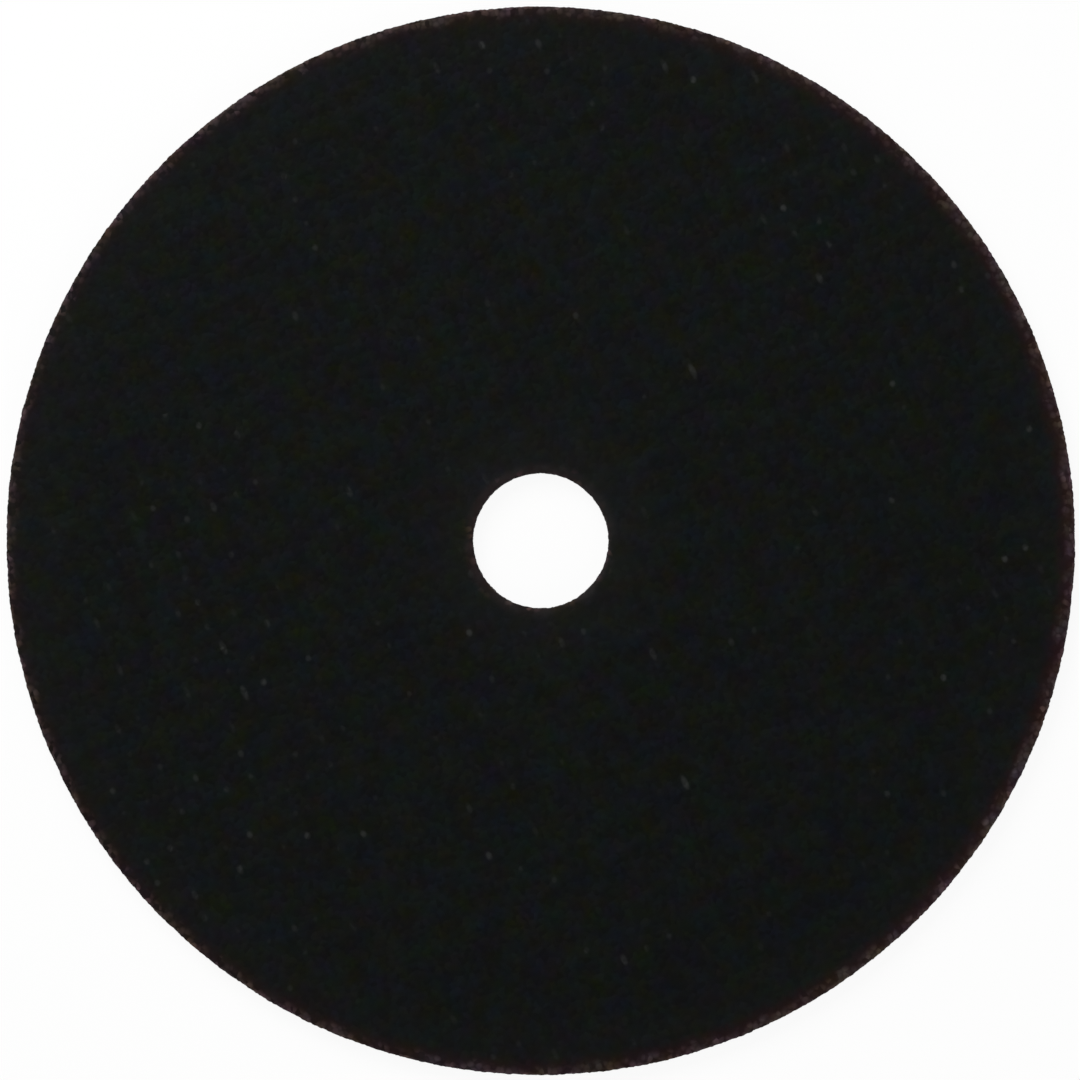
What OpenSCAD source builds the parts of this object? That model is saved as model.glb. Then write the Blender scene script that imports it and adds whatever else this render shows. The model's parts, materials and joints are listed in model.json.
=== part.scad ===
// Flat cut-off wheel: a thin disc of abrasive grain and glass mesh, pressed in one piece,
// with a plain arbor hole and no bush. All sizes are in millimetres.
// The wheel lies flat: its underside is on Z = 0 and its axis is the Z axis.

/* [Wheel] */
// Diameter over the rim
wheel_d = 76.2; // [50:0.1:230]
// Thickness between the two flat faces
wheel_t = 1.6; // [0.8:0.1:3.2]

/* [Arbor hole] */
// Diameter of the plain hole that slips over the arbor
bore_d = 9.53; // [6:0.01:25.4]

/* [Edges] */
// Radius that truing leaves on both edges of the rim
rim_edge_r = 0.25; // [0.05:0.01:0.35]
// Width and depth of the bevel on both edges of the hole
bore_bevel = 0.1; // [0.05:0.01:0.3]

/* [Hidden] */
$fn = 180;
wheel_r = wheel_d / 2;
bore_r = bore_d / 2;
// Where the flat faces end and the rounded rim edges begin
face_r = wheel_r - rim_edge_r;

// Puts a second copy of a section's feature at the opposite face
module on_both_faces() {
    children();
    translate([0, wheel_t]) mirror([0, 1]) children();
}

// Corner that the rounding takes off one edge of the rim
module edge_cut() {
    difference() {
        translate([face_r, 0]) square(rim_edge_r);
        translate([face_r, rim_edge_r]) circle(r = rim_edge_r);
    }
}

// Corner that the bevel takes off one edge of the hole
module bevel_cut() {
    translate([bore_r, 0]) polygon([[0, 0], [bore_bevel, 0], [0, bore_bevel]]);
}

// Half of the wheel's section, from the wall of the hole out to the rim
module wheel_section() {
    difference() {
        translate([bore_r, 0]) square([wheel_r - bore_r, wheel_t]);
        on_both_faces() edge_cut();
        on_both_faces() bevel_cut();
    }
}

// The whole wheel, turned from its section about the arbor's axis
module cut_off_wheel() {
    color([0.08, 0.085, 0.083]) rotate_extrude() wheel_section();
}

cut_off_wheel();
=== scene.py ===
import functools
import json
import math

import bpy
import numpy as np
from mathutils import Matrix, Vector, geometry, noise


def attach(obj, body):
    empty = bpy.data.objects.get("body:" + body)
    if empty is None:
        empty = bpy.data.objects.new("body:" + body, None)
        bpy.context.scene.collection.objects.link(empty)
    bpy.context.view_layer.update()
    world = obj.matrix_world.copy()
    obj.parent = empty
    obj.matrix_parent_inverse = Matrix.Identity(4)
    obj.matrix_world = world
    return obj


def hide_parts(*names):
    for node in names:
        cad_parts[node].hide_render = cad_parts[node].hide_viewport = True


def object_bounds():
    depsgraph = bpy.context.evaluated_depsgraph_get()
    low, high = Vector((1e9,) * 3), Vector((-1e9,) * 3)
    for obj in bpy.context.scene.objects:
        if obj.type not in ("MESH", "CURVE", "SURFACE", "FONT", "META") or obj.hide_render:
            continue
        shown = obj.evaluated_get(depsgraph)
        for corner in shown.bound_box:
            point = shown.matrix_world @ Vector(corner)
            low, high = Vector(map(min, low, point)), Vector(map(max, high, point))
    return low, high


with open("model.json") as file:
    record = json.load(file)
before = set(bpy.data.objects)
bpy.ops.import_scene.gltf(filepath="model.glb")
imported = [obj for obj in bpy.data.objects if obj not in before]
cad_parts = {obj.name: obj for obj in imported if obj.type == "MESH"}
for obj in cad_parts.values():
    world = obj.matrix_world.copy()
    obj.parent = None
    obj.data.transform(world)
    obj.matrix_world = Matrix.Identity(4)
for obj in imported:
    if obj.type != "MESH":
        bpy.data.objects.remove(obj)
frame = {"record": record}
cad_low, cad_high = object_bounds()

# Sizes are in millimetres up to the point where a mesh, lamp or camera is placed
MM = 0.001

# Wheel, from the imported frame
mounts = {mount["name"]: mount for mount in frame["record"]["mounts"]}
WHEEL_R = cad_high.x / MM
WHEEL_T = (cad_high.z - cad_low.z) / MM
BORE_R = mounts["arbor_hole"]["dims"]["r_mm"]
# Rounding of the rim's edges and bevel of the hole's edges, as the solid has them
RIM_EDGE_R = 0.25
BORE_BEVEL = 0.1
# Radii between which the faces lie
FACE_R = WHEEL_R - RIM_EDGE_R
BORE_FACE_R = BORE_R + BORE_BEVEL

# Glass mesh pressed into both faces. Angles are from +X, anticlockwise as the camera sees the upper face
MESH_PITCH = 1.84
WARP_DEG = -65.0
WEFT_DEG = 27.5
LOWER_TURN_DEG = 48.0
# Depth from the tops of its knots to the windows between its yarns
RELIEF = 0.06
# Half a yarn's width and the reach of its sway, in pitches, and the length of a sway
YARN_HALF = 0.36
YARN_SWAY = 0.05
SWAY_SIZE = 9.0
# Shares of the relief: how far a warp yarn dips between knots, and how high a weft yarn stands
WARP_DIP = 0.35
WEFT_LEVEL = 0.5
# Height and size of the grain in the windows
WINDOW_GRAIN = 0.012
WINDOW_GRAIN_SIZE = 0.55
# Width beside the rim and the hole over which the relief runs out
RELIEF_FADE = 0.9
# Seeds of the noise on each face, and what the weft's sway and the windows' grain add to them
UPPER_SEED = 1
LOWER_SEED = 2
WEFT_SEED = 5
WINDOW_SEED = 9

# Bare grit of the rim and of the wall of the hole: the size of a grain, and the greatest depth of a gap
GRAIN = 0.40
GRIT_DEPTH = 0.11
# Width of the slope at a grain's border, in grains, and its share of the depth. Sunk grains have the rest
GRAIN_BORDER = 0.4
BORDER_SHARE = 0.6
# Spreads the middles of neighbouring grains over the noise that says how far each is sunk
SUNK_SPREAD = 7.3
# Depth and length of the sway of the walls
OUTLINE_SWAY = 0.05
OUTLINE_SWAY_SIZE = 3.0

# Division of the shape: points per pitch on the faces, steps round the rim and the hole, angles on the rim's
# rounded edges, and rows on the straight walls
FACE_SAMPLES = 5
RIM_STEPS = 1440
BORE_STEPS = 180
EDGE_ANGLES_DEG = (67.5, 45.0, 22.5, 0.0)
WALL_ROWS = 5
# Least room between a face's grid and its two rings, in steps of the grid
RING_ROOM = 0.6
# The triangles of a face first fill the outline of all its points, and closer points than this count as one
FILL_OUTLINE = 0
SAME_POINT = 1e-6

# Where the photograph has the wheel, in its own 1080-pixel frame
PHOTO_SIZE = 1080
PHOTO_WHEEL_R = 534.9
PHOTO_CENTRE = (540.7, 540.8)
PIXEL = WHEEL_R / PHOTO_WHEEL_R
# Where it shows most glass: the middle of each patch, and its radius
PHOTO_GLASS = (
    (200, 560, 190),
    (850, 210, 140),
    (530, 70, 90),
    (230, 850, 200),
    (1010, 600, 90),
    (510, 790, 80),
)

# Height of both faces' edges, halfway down the relief, over the plane that the wheel lies on
UPPER_Z = WHEEL_T - RELIEF / 2
LOWER_Z = RELIEF / 2


def direction(degrees):
    """Unit vector in the plane of the wheel."""
    angle = math.radians(degrees)
    return np.array([math.cos(angle), math.sin(angle)])


MESH_AXES = np.column_stack([MESH_PITCH * direction(WARP_DEG), MESH_PITCH * direction(WEFT_DEG)])
# Rows that turn a place in the plane into pitches along the warp and along the weft
TO_MESH = np.linalg.inv(MESH_AXES)


def from_photo(x, y):
    """Place on the upper face that the photograph has at a pixel."""
    return (x - PHOTO_CENTRE[0]) * PIXEL, (PHOTO_CENTRE[1] - y) * PIXEL


def smooth(value):
    """Eases a value from 0 to 1, and holds it outside that."""
    value = np.clip(value, 0, 1)
    return value * value * (3 - 2 * value)


def noise_at(points, size, seed):
    """Smooth noise from about -1 to 1 at each point of a flat layout."""
    return np.array([noise.noise(Vector((x / size, y / size, seed))) for x, y in points])


# Shape of the wheel


def ring(steps, radius):
    """Points round a circle in the plane of the wheel."""
    angles = np.arange(steps) * (2 * math.pi / steps)
    return radius * np.column_stack([np.cos(angles), np.sin(angles)])


def loop_edges(first, steps):
    """Edges that close a ring of points."""
    return [(first + i, first + (i + 1) % steps) for i in range(steps)]


def face_layout():
    """Points and triangles of one face: its two rings, then a grid along the yarns of the glass mesh."""
    reach = math.ceil(WHEEL_R / MESH_PITCH) + 1
    steps = np.arange(-reach * FACE_SAMPLES, reach * FACE_SAMPLES + 1) / FACE_SAMPLES
    grid = np.stack(np.meshgrid(steps, steps, indexing="ij"), axis=-1).reshape(-1, 2) @ MESH_AXES.T
    radius = np.hypot(grid[:, 0], grid[:, 1])
    room = RING_ROOM * MESH_PITCH / FACE_SAMPLES
    grid = grid[(radius > BORE_FACE_R + room) & (radius < FACE_R - room)]
    points = np.vstack([ring(RIM_STEPS, FACE_R), ring(BORE_STEPS, BORE_FACE_R), grid])
    edges = loop_edges(0, RIM_STEPS) + loop_edges(RIM_STEPS, BORE_STEPS)
    corners = [Vector(point) for point in points]
    _, _, filled, *_ = geometry.delaunay_2d_cdt(corners, edges, [], FILL_OUTLINE, SAME_POINT)
    triangles = np.array(filled)
    on_bore = (triangles >= RIM_STEPS) & (triangles < RIM_STEPS + BORE_STEPS)
    return points, triangles[~on_bore.all(axis=1)]


def yarn_ridge(offset):
    """Rounded back of a yarn, 1 on its middle line and 0 beside it."""
    return np.clip(1 - (offset / YARN_HALF) ** 2, 0, 1)


def face_depth(points, seed):
    """Depth of each point of a face below the tops of the mesh's knots."""
    place = points @ TO_MESH.T
    place[:, 0] += YARN_SWAY * noise_at(points, SWAY_SIZE, seed)
    place[:, 1] += YARN_SWAY * noise_at(points, SWAY_SIZE, seed + WEFT_SEED)
    along, across = (place - np.round(place)).T
    dip = WARP_DIP * (1 - np.cos(2 * math.pi * along)) / 2
    warp = yarn_ridge(across) * (1 - dip)
    weft = yarn_ridge(along) * WEFT_LEVEL
    height = np.maximum(warp, weft)
    grain = WINDOW_GRAIN * (1 - height) * noise_at(points, WINDOW_GRAIN_SIZE, seed + WINDOW_SEED)
    depth = np.maximum(RELIEF * (1 - height) + grain, 0)
    radius = np.hypot(points[:, 0], points[:, 1])
    inset = np.minimum(FACE_R - radius, radius - BORE_FACE_R)
    share = smooth(inset / RELIEF_FADE)
    return share * depth + (1 - share) * RELIEF / 2


def turned(points, degrees):
    """Points of a flat layout, turned about the axis of the wheel."""
    x_axis = direction(degrees)
    y_axis = direction(degrees + 90)
    return points @ np.stack([x_axis, y_axis])


def rim_rows():
    """Rows of the rim from the top down: radius, height, and the outward direction in the section."""
    edge = []
    for degrees in EDGE_ANGLES_DEG:
        out, up = direction(degrees)
        edge.append((FACE_R + RIM_EDGE_R * out, UPPER_Z - RIM_EDGE_R * (1 - up), out, up))
    mirrored = [(radius, WHEEL_T - height, out, -up) for radius, height, out, up in reversed(edge)]
    heights = np.linspace(edge[-1][1], mirrored[0][1], WALL_ROWS + 2)[1:-1]
    return edge + [(WHEEL_R, height, 1.0, 0.0) for height in heights] + mirrored


def bore_rows():
    """Rows of the wall of the hole from the top down, in the form that rim_rows gives."""
    heights = np.linspace(UPPER_Z - BORE_BEVEL, LOWER_Z + BORE_BEVEL, WALL_ROWS + 2)
    return [(BORE_R, height, -1.0, 0.0) for height in heights]


def grit_depth(point):
    """Depth of a point of a bare wall below the tops of its grains."""
    distances, middles = noise.voronoi(point / GRAIN)
    border = 1 - min((distances[1] - distances[0]) / GRAIN_BORDER, 1)
    sunk = abs(noise.noise(middles[0] * SUNK_SPREAD))
    sway = abs(noise.noise(point / OUTLINE_SWAY_SIZE))
    return GRIT_DEPTH * (BORDER_SHARE * border + (1 - BORDER_SHARE) * sunk) + OUTLINE_SWAY * sway


def wall_points(rows, steps):
    """Points of a wall, row by row, each sunk to its place between the grains."""
    points = []
    for radius, height, out, up in rows:
        for x, y in ring(steps, 1.0):
            depth = grit_depth(Vector((radius * x, radius * y, height)))
            sunk_radius = radius - depth * out
            points.append((sunk_radius * x, sunk_radius * y, height - depth * up))
    return np.array(points)


def wall_between(upper, lower, first, row_count):
    """Rows of point numbers from a ring of the upper face to the matching ring of the lower one."""
    steps = len(upper)
    numbers = np.arange(row_count * steps).reshape(row_count, steps) + first
    turn = round(LOWER_TURN_DEG * steps / 360)
    return [upper, *numbers, np.roll(lower, turn)]


def strips(rows, outward):
    """Faces between each row of point numbers and the next one below, looking outward or at the axis."""
    faces = []
    for above, below in zip(rows, rows[1:]):
        quads = np.column_stack([below, np.roll(below, -1), np.roll(above, -1), above])
        faces.extend((quads if outward else quads[:, ::-1]).tolist())
    return faces


def build_wheel():
    """The whole wheel as one closed mesh."""
    flat, triangles = face_layout()
    count = len(flat)
    upper = np.column_stack([flat, WHEEL_T - face_depth(flat, UPPER_SEED)])
    lower = np.column_stack([turned(flat, LOWER_TURN_DEG), face_depth(flat, LOWER_SEED)])
    rim_section = rim_rows()
    bore_section = bore_rows()
    rim = wall_points(rim_section, RIM_STEPS)
    bore = wall_points(bore_section, BORE_STEPS)
    points = np.vstack([upper, lower, rim, bore])

    rim_ring = np.arange(RIM_STEPS)
    bore_ring = np.arange(BORE_STEPS) + RIM_STEPS
    rim_first = 2 * count
    bore_first = rim_first + len(rim)
    rim_wall = wall_between(rim_ring, rim_ring + count, rim_first, len(rim_section))
    bore_wall = wall_between(bore_ring, bore_ring + count, bore_first, len(bore_section))
    faces = triangles.tolist() + (triangles[:, ::-1] + count).tolist()
    faces += strips(rim_wall, outward=True)
    faces += strips(bore_wall, outward=False)

    mesh = bpy.data.meshes.new("abrasive_wheel")
    mesh.from_pydata((points * MM).tolist(), [], faces)
    mesh.shade_smooth()
    wheel = bpy.data.objects.new("abrasive_wheel", mesh)
    bpy.context.scene.collection.objects.link(wheel)
    return wheel


# Materials


class Tree:
    """Short calls that add nodes to one node tree."""

    # Numbers of the sockets by which a mix node takes and gives colours
    MIX_COLOURS = (6, 7)
    MIX_RESULT = 2

    def __init__(self, owner):
        owner.use_nodes = True
        self.tree = owner.node_tree
        self.tree.nodes.clear()

    def node(self, kind, inputs=(), **settings):
        """Adds a node with its settings, and feeds its inputs from constants or other nodes' outputs."""
        made = self.tree.nodes.new(kind)
        for name, value in settings.items():
            setattr(made, name, value)
        for key, value in dict(inputs).items():
            if isinstance(value, bpy.types.NodeSocket):
                self.tree.links.new(value, made.inputs[key])
            else:
                made.inputs[key].default_value = value
        return made

    def math(self, operation, *values):
        """Adds a calculation with numbers."""
        return self.node("ShaderNodeMath", dict(enumerate(values)), operation=operation).outputs[0]

    def total(self, *values):
        """Sum of two or more numbers."""
        return functools.reduce(functools.partial(self.math, "ADD"), values)

    def product(self, *values):
        """Product of two or more numbers."""
        return functools.reduce(functools.partial(self.math, "MULTIPLY"), values)

    def between(self, share, first, second):
        """Number that is the first one at a share of 0 and the second one at 1."""
        return self.math("MULTIPLY_ADD", share, second - first, first)

    def swing(self, draw, span):
        """Number that a draw from 0 to 1 moves over a span with 0 in its middle."""
        return self.between(draw, -span / 2, span / 2)

    def ramp(self, value, low, high, to_low=0.0, to_high=1.0):
        """Eases from to_low at low to to_high at high."""
        inputs = {"Value": value, "From Min": low, "From Max": high, "To Min": to_low, "To Max": to_high}
        return self.node("ShaderNodeMapRange", inputs, interpolation_type="SMOOTHSTEP").outputs["Result"]

    def vector(self, operation, inputs):
        """Adds a vector calculation, and gives the output that it fills."""
        made = self.node("ShaderNodeVectorMath", inputs, operation=operation)
        return next(output for output in made.outputs if output.enabled)

    def noise(self, vector, size, detail):
        """Outputs of a smooth noise with features of the given size, as a number and as a colour."""
        inputs = {"Vector": vector, "Scale": 1 / size, "Detail": detail}
        return self.node("ShaderNodeTexNoise", inputs).outputs

    def split(self, colour):
        """The three numbers that make up a colour."""
        return self.node("ShaderNodeSeparateColor", {0: colour}).outputs

    def mix(self, share, first, second):
        """Colour between two others, each a node's output or a constant."""
        inputs = {0: share}
        for number, colour in zip(self.MIX_COLOURS, (first, second)):
            inputs[number] = colour if isinstance(colour, bpy.types.NodeSocket) else (*colour, 1)
        return self.node("ShaderNodeMix", inputs, data_type="RGBA").outputs[self.MIX_RESULT]


# Colours of the wheel, as linear red, green and blue
SKIN = (0.0028, 0.0036, 0.0033)
# Paler skin, partly worn and partly painted light
WORN_AND_PAINTED_LIGHT_SKIN = (0.0160, 0.0156, 0.0150)
STAIN = (0.0168, 0.0056, 0.0058)
BARE_GRAIN = (0.0405, 0.0268, 0.0265)
# Glass at the mesh's knots, paler by a painted glint
GLASS_AND_PAINTED_GLINT = (0.045, 0.047, 0.046)

# Spans over which the skin's tone varies from place to place and from grain to grain
MOTTLE_TONES = 0.8
GRAIN_TONES = 0.65
MOTTLE_SIZE = 4.0
MOTTLE_DETAIL = 3.0
# Spans over which red, green and blue vary from patch to patch, on the skin and where it is worn
SKIN_TINTS = np.array([1.5, 1.3, 3.3])
FRINGE_TINTS = np.array([0.6, 0.7, 1.4])
PATCH_SIZE = 1.9
PATCH_DETAIL = 2.0
# Middle line of a yarn: half its width in pitches, how much painted light makes it paler, and how much
# smoother it is than the skin
YARN_LINE = 0.2
YARN_PAINTED_LIGHT = 0.1
YARN_SMOOTHER = 0.05
# Powers that keep a draw from 0 to 1 high on few things, and on very few
FEW = 4.0
VERY_FEW = 8.0

# Glass knots, partly pale glass and partly painted glint: the shares of them that show away from the patches
# with most glass and in the core of a patch, and the core's share of a patch's radius
KNOT_CHANCES = (0.10, 0.50)
GLASS_CORE = 1 / 3
# Half sizes of a knot and the span of its place about the crossing of the yarns, in pitches, and the factors
# by which its size varies and by which a few are longer
KNOT_LONG = 0.125
KNOT_WIDE = 0.110
KNOT_SHAKE = 0.24
KNOT_SCALES = (0.8, 1.2)
KNOT_STRETCH = (1.0, 2.3)
# Where a knot fades out and where it would be full, as squares of its half sizes
KNOT_FADE = (1.4, -0.2)
# How strongly it shows as glass and painted glint, from grain to grain and from knot to knot, and what is
# added on very few
KNOT_GRAIN = (0.45, 1.15)
KNOT_STRENGTH = (0.068, 0.173)
BRIGHTEST_PAINTED_GLINT = 0.27

# Wear, and painted light along the edges and round the hole: the distances from the rim or the hole where
# each kind begins and is full, and its full share
RIM_STAIN = (1.65, 0.45, 0.66)
RIM_BARE = (0.90, 0.30, 0.95)
RIM_HAZE = (6.00, 0.50, 0.08)
BORE_STAIN = (1.00, 0.10, 0.40)
BORE_BARE = (0.90, 0.10, 0.90)
# Paler skin round the hole, partly wear and partly painted light on its bevel
BORE_WEAR_AND_PAINTED_LIGHT = (1.00, 0.05, 0.58)
BORE_HAZE = (6.00, 0.00, 0.17)
WALL_BARE = (0.40, 0.10, 0.30)
# Painted light on the grains along the rounded edges
EDGE_PAINTED_LIGHT = (0.35, 0.05, 0.60)
# Spans over which the wear's border strays, by patch and by grain
PATCH_STRAY = 1.2
GRAIN_STRAY = 0.2
# Direction in which the rim is most worn and from which it is painted as if lit, and how much narrower its
# wear is on the far side
WEAR_AND_PAINTED_LIGHT_DEG = -10.0
FAR_NARROWER = 0.12
# Factors in that direction and on the far side, where the hole is most worn and painted as if lit from that
# direction.
# They are partly wear and partly painted light, and for the bare grains' tone painted light alone
RIM_STAIN_AND_PAINTED_LIGHT_SIDES = (1.0, 0.32)
BORE_BARE_AND_PAINTED_LIGHT_SIDES = (0.35, 1.0)
BORE_WEAR_AND_PAINTED_LIGHT_SIDES = (0.85, 1.35)
BARE_TONE_PAINTED_LIGHT_SIDES = (1.16, 0.84)
# Draws by which grains at the hole go from covered to bare
BORE_BARE_DRAWS = (0.6, 0.9)
# Levels of the patches that the worn ring round the hole follows, and its factors there
BLOTCH_LEVELS = (0.3, 0.7)
BLOTCH_FACTORS = (0.3, 1.4)

# Bare grains: the draws by which one goes from covered to bare, and how bare a covered one still is in the
# direction of most wear, which is partly painted light, and on the far side
BARE_DRAWS = (0.95, 0.35)
COVERED_SIDES = (0.3, 0.0)
# Tones from the darkest grain to the palest of most, and what is added on very few
BARE_TONES = (0.8, 1.15)
PALEST_GRAIN = 0.6
# Distances from a grain's middle, in grains, of the gap round it and of its core, and how bare the gap is
GRAIN_GAP = 0.85
GRAIN_CORE = 0.3
GAP_BARE = 0.3

# Finish: the skin's roughness, and what bare grains add to it and glass takes from it
SKIN_ROUGHNESS = (0.5, 0.8)
GRAIN_ROUGHER = 0.12
GLASS_SMOOTHER = 0.3
# Height of the grains under the skin, and how strongly the skin mirrors
BUMP_DEPTH = 0.03
SPECULAR = 0.044


class Place:
    """Where a shaded point lies on the wheel."""

    def __init__(self, tree):
        metres = tree.node("ShaderNodeTexCoord").outputs["Object"]
        self.point = tree.vector("SCALE", {0: metres, "Scale": 1 / MM})
        parts = tree.node("ShaderNodeSeparateXYZ", {0: self.point}).outputs
        self.flat = tree.node("ShaderNodeCombineXYZ", {0: parts[0], 1: parts[1]}).outputs[0]
        radius = tree.vector("LENGTH", {0: self.flat})
        self.from_rim = tree.math("SUBTRACT", WHEEL_R, radius)
        self.from_bore = tree.math("SUBTRACT", radius, BORE_R)
        self.lower = tree.math("LESS_THAN", parts[2], WHEEL_T / 2)
        reach = tree.vector("DOT_PRODUCT", {0: self.flat, 1: (*direction(WEAR_AND_PAINTED_LIGHT_DEG), 0.0)})
        side = tree.math("DIVIDE", reach, radius)
        # From 0 in the direction in which the rim is most worn and painted as if lit to 1 on the far side
        self.far = tree.math("MULTIPLY_ADD", side, -0.5, 0.5)


class Weave:
    """Where a shaded point lies on the glass mesh of its face, in pitches along the warp and the weft."""

    def __init__(self, tree, place):
        turn = tree.product(place.lower, -math.radians(LOWER_TURN_DEG))
        inputs = {"Vector": place.flat, "Angle": turn}
        laid = tree.node("ShaderNodeVectorRotate", inputs, rotation_type="Z_AXIS").outputs[0]
        spots = [tree.vector("DOT_PRODUCT", {0: laid, 1: (*row, 0.0)}) for row in TO_MESH]
        knots = [tree.math("ROUND", spot) for spot in spots]
        self.knot = tree.node("ShaderNodeCombineXYZ", {0: knots[0], 1: knots[1], 2: place.lower}).outputs[0]
        self.offsets = [tree.math("SUBTRACT", spot, knot) for spot, knot in zip(spots, knots)]
        lines = [tree.ramp(tree.math("ABSOLUTE", offset), YARN_LINE, 0.0) for offset in self.offsets]
        # From 0 to 1 on the middle line of a yarn
        self.yarn = tree.math("MAXIMUM", *lines)


class Grit:
    """Grains of the wheel: numbers drawn for each of them, and their shape."""

    def __init__(self, tree, place):
        cells = tree.node("ShaderNodeTexVoronoi", {"Vector": place.point, "Scale": 1 / GRAIN})
        self.draws = tree.split(cells.outputs["Color"])
        self.from_middle = cells.outputs["Distance"]
        self.inside = tree.ramp(self.from_middle, GRAIN_GAP, GRAIN_CORE, GAP_BARE)


def worn(tree, distance, wear):
    """Share of one kind of wear at a distance from the rim or the hole."""
    begins, full, share = wear
    return tree.ramp(distance, begins, full, 0.0, share)


class WearAndPaintedLight:
    """How far each kind of wear, and the painted light along the edges and round the hole, has gone at a
    shaded point.
    """

    def __init__(self, tree, place, grit, patches):
        patchy, _, blotch = tree.split(patches)
        stray = tree.total(tree.swing(patchy, PATCH_STRAY), tree.swing(grit.draws[0], GRAIN_STRAY))
        from_rim = tree.total(place.from_rim, stray, tree.product(place.far, FAR_NARROWER))
        from_bore = tree.total(place.from_bore, stray)
        from_wall = tree.math("MINIMUM", place.from_rim, place.from_bore)

        # Red stain of the skin, which round the hole grows towards the far side; its lean to one side is
        # partly painted light
        rim_stain = tree.product(worn(tree, from_rim, RIM_STAIN), tree.between(place.far, *RIM_STAIN_AND_PAINTED_LIGHT_SIDES))
        bore_stain = tree.product(worn(tree, from_bore, BORE_STAIN), place.far)
        self.stain = tree.math("MAXIMUM", rim_stain, bore_stain)

        # Skin gone from the grains, with painted light on them along the edges
        bore_bare = tree.product(
            worn(tree, from_bore, BORE_BARE),
            tree.ramp(grit.draws[2], *BORE_BARE_DRAWS),
            tree.between(place.far, *BORE_BARE_AND_PAINTED_LIGHT_SIDES),
        )
        face_bare = tree.math("MAXIMUM", worn(tree, from_rim, RIM_BARE), bore_bare)
        self.bare = tree.total(face_bare, worn(tree, from_wall, WALL_BARE))
        self.edge = worn(tree, from_wall, EDGE_PAINTED_LIGHT)

        # Skin rubbed paler, and at the hole's bevel also painted light over its shade
        bore_wear_and_painted_light = tree.product(
            worn(tree, place.from_bore, BORE_WEAR_AND_PAINTED_LIGHT),
            tree.ramp(blotch, *BLOTCH_LEVELS, *BLOTCH_FACTORS),
            tree.between(place.far, *BORE_WEAR_AND_PAINTED_LIGHT_SIDES),
        )
        rim_haze = worn(tree, place.from_rim, RIM_HAZE)
        bore_haze = worn(tree, place.from_bore, BORE_HAZE)
        self.pale = tree.total(bore_wear_and_painted_light, rim_haze, bore_haze)


def most_glass(tree, place):
    """1 in the core of the patches where most of the glass shows, and 0 away from them."""
    most = 0.0
    for x, y, pixels in PHOTO_GLASS:
        radius = pixels * PIXEL
        distance = tree.vector("DISTANCE", {0: place.flat, 1: (*from_photo(x, y), 0.0)})
        near = tree.ramp(distance, radius, radius * GLASS_CORE)
        most = tree.math("MAXIMUM", most, near)
    return most


def glass_knots_with_painted_glints(tree, place, weave, grit):
    """How far the glass of the mesh shows through the skin at some of its knots, with a painted glint on it.
    """
    drawn = tree.node("ShaderNodeTexWhiteNoise", {"Vector": weave.knot}, noise_dimensions="3D").outputs
    draws = tree.split(drawn["Color"])
    stretch = tree.between(tree.math("POWER", draws[1], FEW), *KNOT_STRETCH)
    scale = tree.between(draws[2], *KNOT_SCALES)
    halves = (tree.product(scale, stretch, KNOT_LONG), tree.product(scale, KNOT_WIDE))
    spread = []
    for offset, shake, half in zip(weave.offsets, draws, halves):
        from_middle = tree.math("SUBTRACT", offset, tree.swing(shake, KNOT_SHAKE))
        spread.append(tree.math("POWER", tree.math("DIVIDE", from_middle, half), 2.0))
    patch = tree.ramp(tree.total(*spread), *KNOT_FADE)
    chance = tree.ramp(most_glass(tree, place), 0.0, 1.0, *KNOT_CHANCES)
    shown = tree.math("LESS_THAN", drawn["Value"], chance)
    brightest = tree.product(tree.math("POWER", draws[2], VERY_FEW), BRIGHTEST_PAINTED_GLINT)
    strength = tree.total(tree.between(draws[2], *KNOT_STRENGTH), brightest)
    return tree.product(patch, tree.between(grit.draws[2], *KNOT_GRAIN), shown, strength)


def tinted(tree, colour, tints, patches):
    """Colour whose red, green and blue vary from patch to patch."""
    tint = tree.vector("MULTIPLY_ADD", {0: patches, 1: tints, 2: 1 - tints / 2})
    return tree.vector("MULTIPLY", {0: tint, 1: colour})


def skin_colour(tree, weave, grit, patches, mottle):
    """Black skin with its mottle, a little paler along the yarns by painted light."""
    tone = tree.total(
        1.0,
        tree.swing(mottle, MOTTLE_TONES),
        tree.swing(grit.draws[2], GRAIN_TONES),
        tree.product(weave.yarn, grit.draws[1], YARN_PAINTED_LIGHT),
    )
    return tree.vector("SCALE", {0: tinted(tree, SKIN, SKIN_TINTS, patches), "Scale": tone})


def bare_grains(tree, place, grit, wear, patches):
    """Colour of the bare grains, with painted light along the edges and towards the side of most wear, and
    how far they show.
    """
    palest = tree.product(tree.math("POWER", grit.draws[1], VERY_FEW), PALEST_GRAIN)
    # Grains paler along the edges by painted light
    tone = tree.total(tree.between(grit.draws[1], *BARE_TONES), palest, wear.edge)
    # Paler towards the direction of most wear, painted light from that side
    tone = tree.product(tone, tree.between(place.far, *BARE_TONE_PAINTED_LIGHT_SIDES))
    colour = tree.vector("SCALE", {0: tinted(tree, BARE_GRAIN, FRINGE_TINTS, patches), "Scale": tone})
    uncovered = tree.ramp(grit.draws[0], *BARE_DRAWS, tree.between(place.far, *COVERED_SIDES))
    return colour, tree.product(wear.bare, uncovered, grit.inside)


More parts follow.
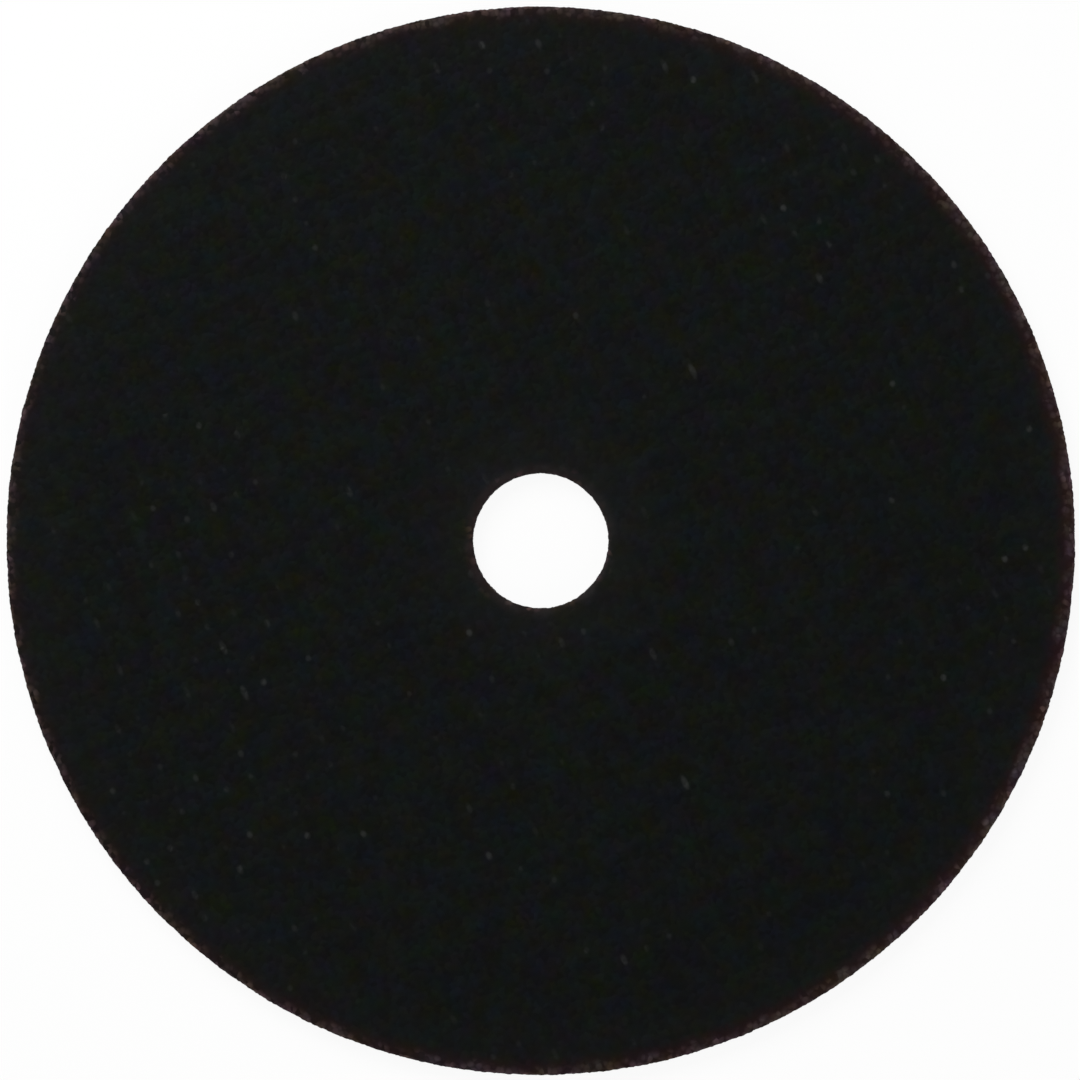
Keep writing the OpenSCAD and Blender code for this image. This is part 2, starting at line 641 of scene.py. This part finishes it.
def bonded_abrasive():
    """Black skin over glass mesh, worn to bare brown grit at the rim and in the hole."""
    material = bpy.data.materials.new("bonded_abrasive")
    tree = Tree(material)
    place = Place(tree)
    weave = Weave(tree, place)
    grit = Grit(tree, place)
    mottle = tree.noise(place.point, MOTTLE_SIZE, MOTTLE_DETAIL)["Fac"]
    patches = tree.noise(place.point, PATCH_SIZE, PATCH_DETAIL)["Color"]
    wear = WearAndPaintedLight(tree, place, grit, patches)
    glass_and_painted_glint = glass_knots_with_painted_glints(tree, place, weave, grit)
    grain, grain_shown = bare_grains(tree, place, grit, wear, patches)

    # From the skin to what shows through it
    colour = skin_colour(tree, weave, grit, patches, mottle)
    # Paler skin, partly painted light round the hole
    colour = tree.mix(wear.pale, colour, WORN_AND_PAINTED_LIGHT_SKIN)
    colour = tree.mix(wear.stain, colour, tinted(tree, STAIN, FRINGE_TINTS, patches))
    # Glass knots with their painted glint
    colour = tree.mix(glass_and_painted_glint, colour, GLASS_AND_PAINTED_GLINT)
    colour = tree.mix(grain_shown, colour, grain)

    roughness = tree.total(
        tree.between(mottle, *SKIN_ROUGHNESS),
        tree.product(grain_shown, GRAIN_ROUGHER),
        tree.product(glass_and_painted_glint, -GLASS_SMOOTHER),
        tree.product(weave.yarn, -YARN_SMOOTHER),
    )
    bump_inputs = {"Strength": 1.0, "Distance": BUMP_DEPTH * MM, "Height": grit.from_middle}
    bump = tree.node("ShaderNodeBump", bump_inputs, invert=True)
    shader = tree.node(
        "ShaderNodeBsdfPrincipled",
        {
            "Base Color": colour,
            "Roughness": roughness,
            "Specular IOR Level": SPECULAR,
            "Normal": bump.outputs[0],
        },
    )
    tree.node("ShaderNodeOutputMaterial", {"Surface": shader.outputs[0]})
    return material


# Studio

# Floor: its whiteness, the share of plain white in what is seen of it, and half its width
FLOOR_WHITE = 0.95
FLOOR_GLOW = 0.92
FLOOR_HALF = 4000.0
# Level of the light from all round
AMBIENT = 0.34
# Focal length, and width of the picture behind the lens
LENS = 300.0
SENSOR = 36.0


def seen_directly(tree):
    """1 for rays that show what is behind the wheel, and 0 for rays that carry its light."""
    rays = tree.node("ShaderNodeLightPath").outputs
    seen = tree.math("MAXIMUM", rays["Is Camera Ray"], rays["Is Glossy Ray"])
    return tree.math("MAXIMUM", seen, rays["Is Transmission Ray"])


def build_floor():
    """White table that shows the wheel's shadow faintly."""
    mesh = bpy.data.meshes.new("floor")
    half = FLOOR_HALF * MM
    corners = [(-half, -half, 0), (half, -half, 0), (half, half, 0), (-half, half, 0)]
    mesh.from_pydata(corners, [], [(0, 1, 2, 3)])
    floor = bpy.data.objects.new("floor", mesh)
    bpy.context.scene.collection.objects.link(floor)
    material = bpy.data.materials.new("floor_white")
    tree = Tree(material)
    matt = tree.node("ShaderNodeBsdfDiffuse", {"Color": (FLOOR_WHITE, FLOOR_WHITE, FLOOR_WHITE, 1)})
    glow = tree.node("ShaderNodeEmission", {"Color": (1, 1, 1, 1), "Strength": 1.0})
    share = tree.product(seen_directly(tree), FLOOR_GLOW)
    mixed = tree.node("ShaderNodeMixShader", {0: share, 1: matt.outputs[0], 2: glow.outputs[0]})
    tree.node("ShaderNodeOutputMaterial", {"Surface": mixed.outputs[0]})
    mesh.materials.append(material)


def build_world():
    """Even dim light from all round, with white behind the floor's edge."""
    world = bpy.data.worlds.new("studio")
    bpy.context.scene.world = world
    tree = Tree(world)
    strength = tree.between(seen_directly(tree), AMBIENT, 1.0)
    sky = tree.node("ShaderNodeBackground", {"Color": (1, 1, 1, 1), "Strength": strength})
    tree.node("ShaderNodeOutputWorld", {"Surface": sky.outputs[0]})


def add_softbox(name, azimuth_deg, elevation_deg, distance, size, level):
    """Square lamp aimed at the wheel. A white face there renders at the given level by it alone."""
    lamp = bpy.data.lights.new(name, "AREA")
    lamp.size = size * MM
    rise = math.sin(math.radians(elevation_deg))
    lamp.energy = level * math.pi**2 * (distance * MM) ** 2 / rise
    box = bpy.data.objects.new(name, lamp)
    reach = math.cos(math.radians(elevation_deg))
    towards = Vector((*(direction(azimuth_deg) * reach), rise))
    box.location = towards * distance * MM
    box.rotation_euler = towards.to_track_quat("Z", "Y").to_euler()
    bpy.context.scene.collection.objects.link(box)


def add_camera():
    """Long lens straight above the wheel, framed as in the photograph."""
    lens = bpy.data.cameras.new("camera")
    lens.lens = LENS
    lens.sensor_width = SENSOR
    camera = bpy.data.objects.new("camera", lens)
    # The photograph's scale is that of the wheel's widest part, below the upper edge of the rim
    distance = PHOTO_SIZE * PIXEL * LENS / SENSOR
    middle = from_photo(PHOTO_SIZE / 2, PHOTO_SIZE / 2)
    camera.location = Vector((*middle, UPPER_Z - RIM_EDGE_R + distance)) * MM
    bpy.context.scene.collection.objects.link(camera)
    bpy.context.scene.camera = camera


wheel = build_wheel()
wheel.data.materials.append(bonded_abrasive())
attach(wheel, "root")
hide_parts("cut_off_wheel")

build_floor()
build_world()
add_softbox("key", azimuth_deg=122, elevation_deg=48, distance=300, size=200, level=0.56)
add_softbox("fill", azimuth_deg=300, elevation_deg=35, distance=900, size=600, level=0.10)
add_camera()
bpy.context.scene.view_settings.view_transform = "Standard"
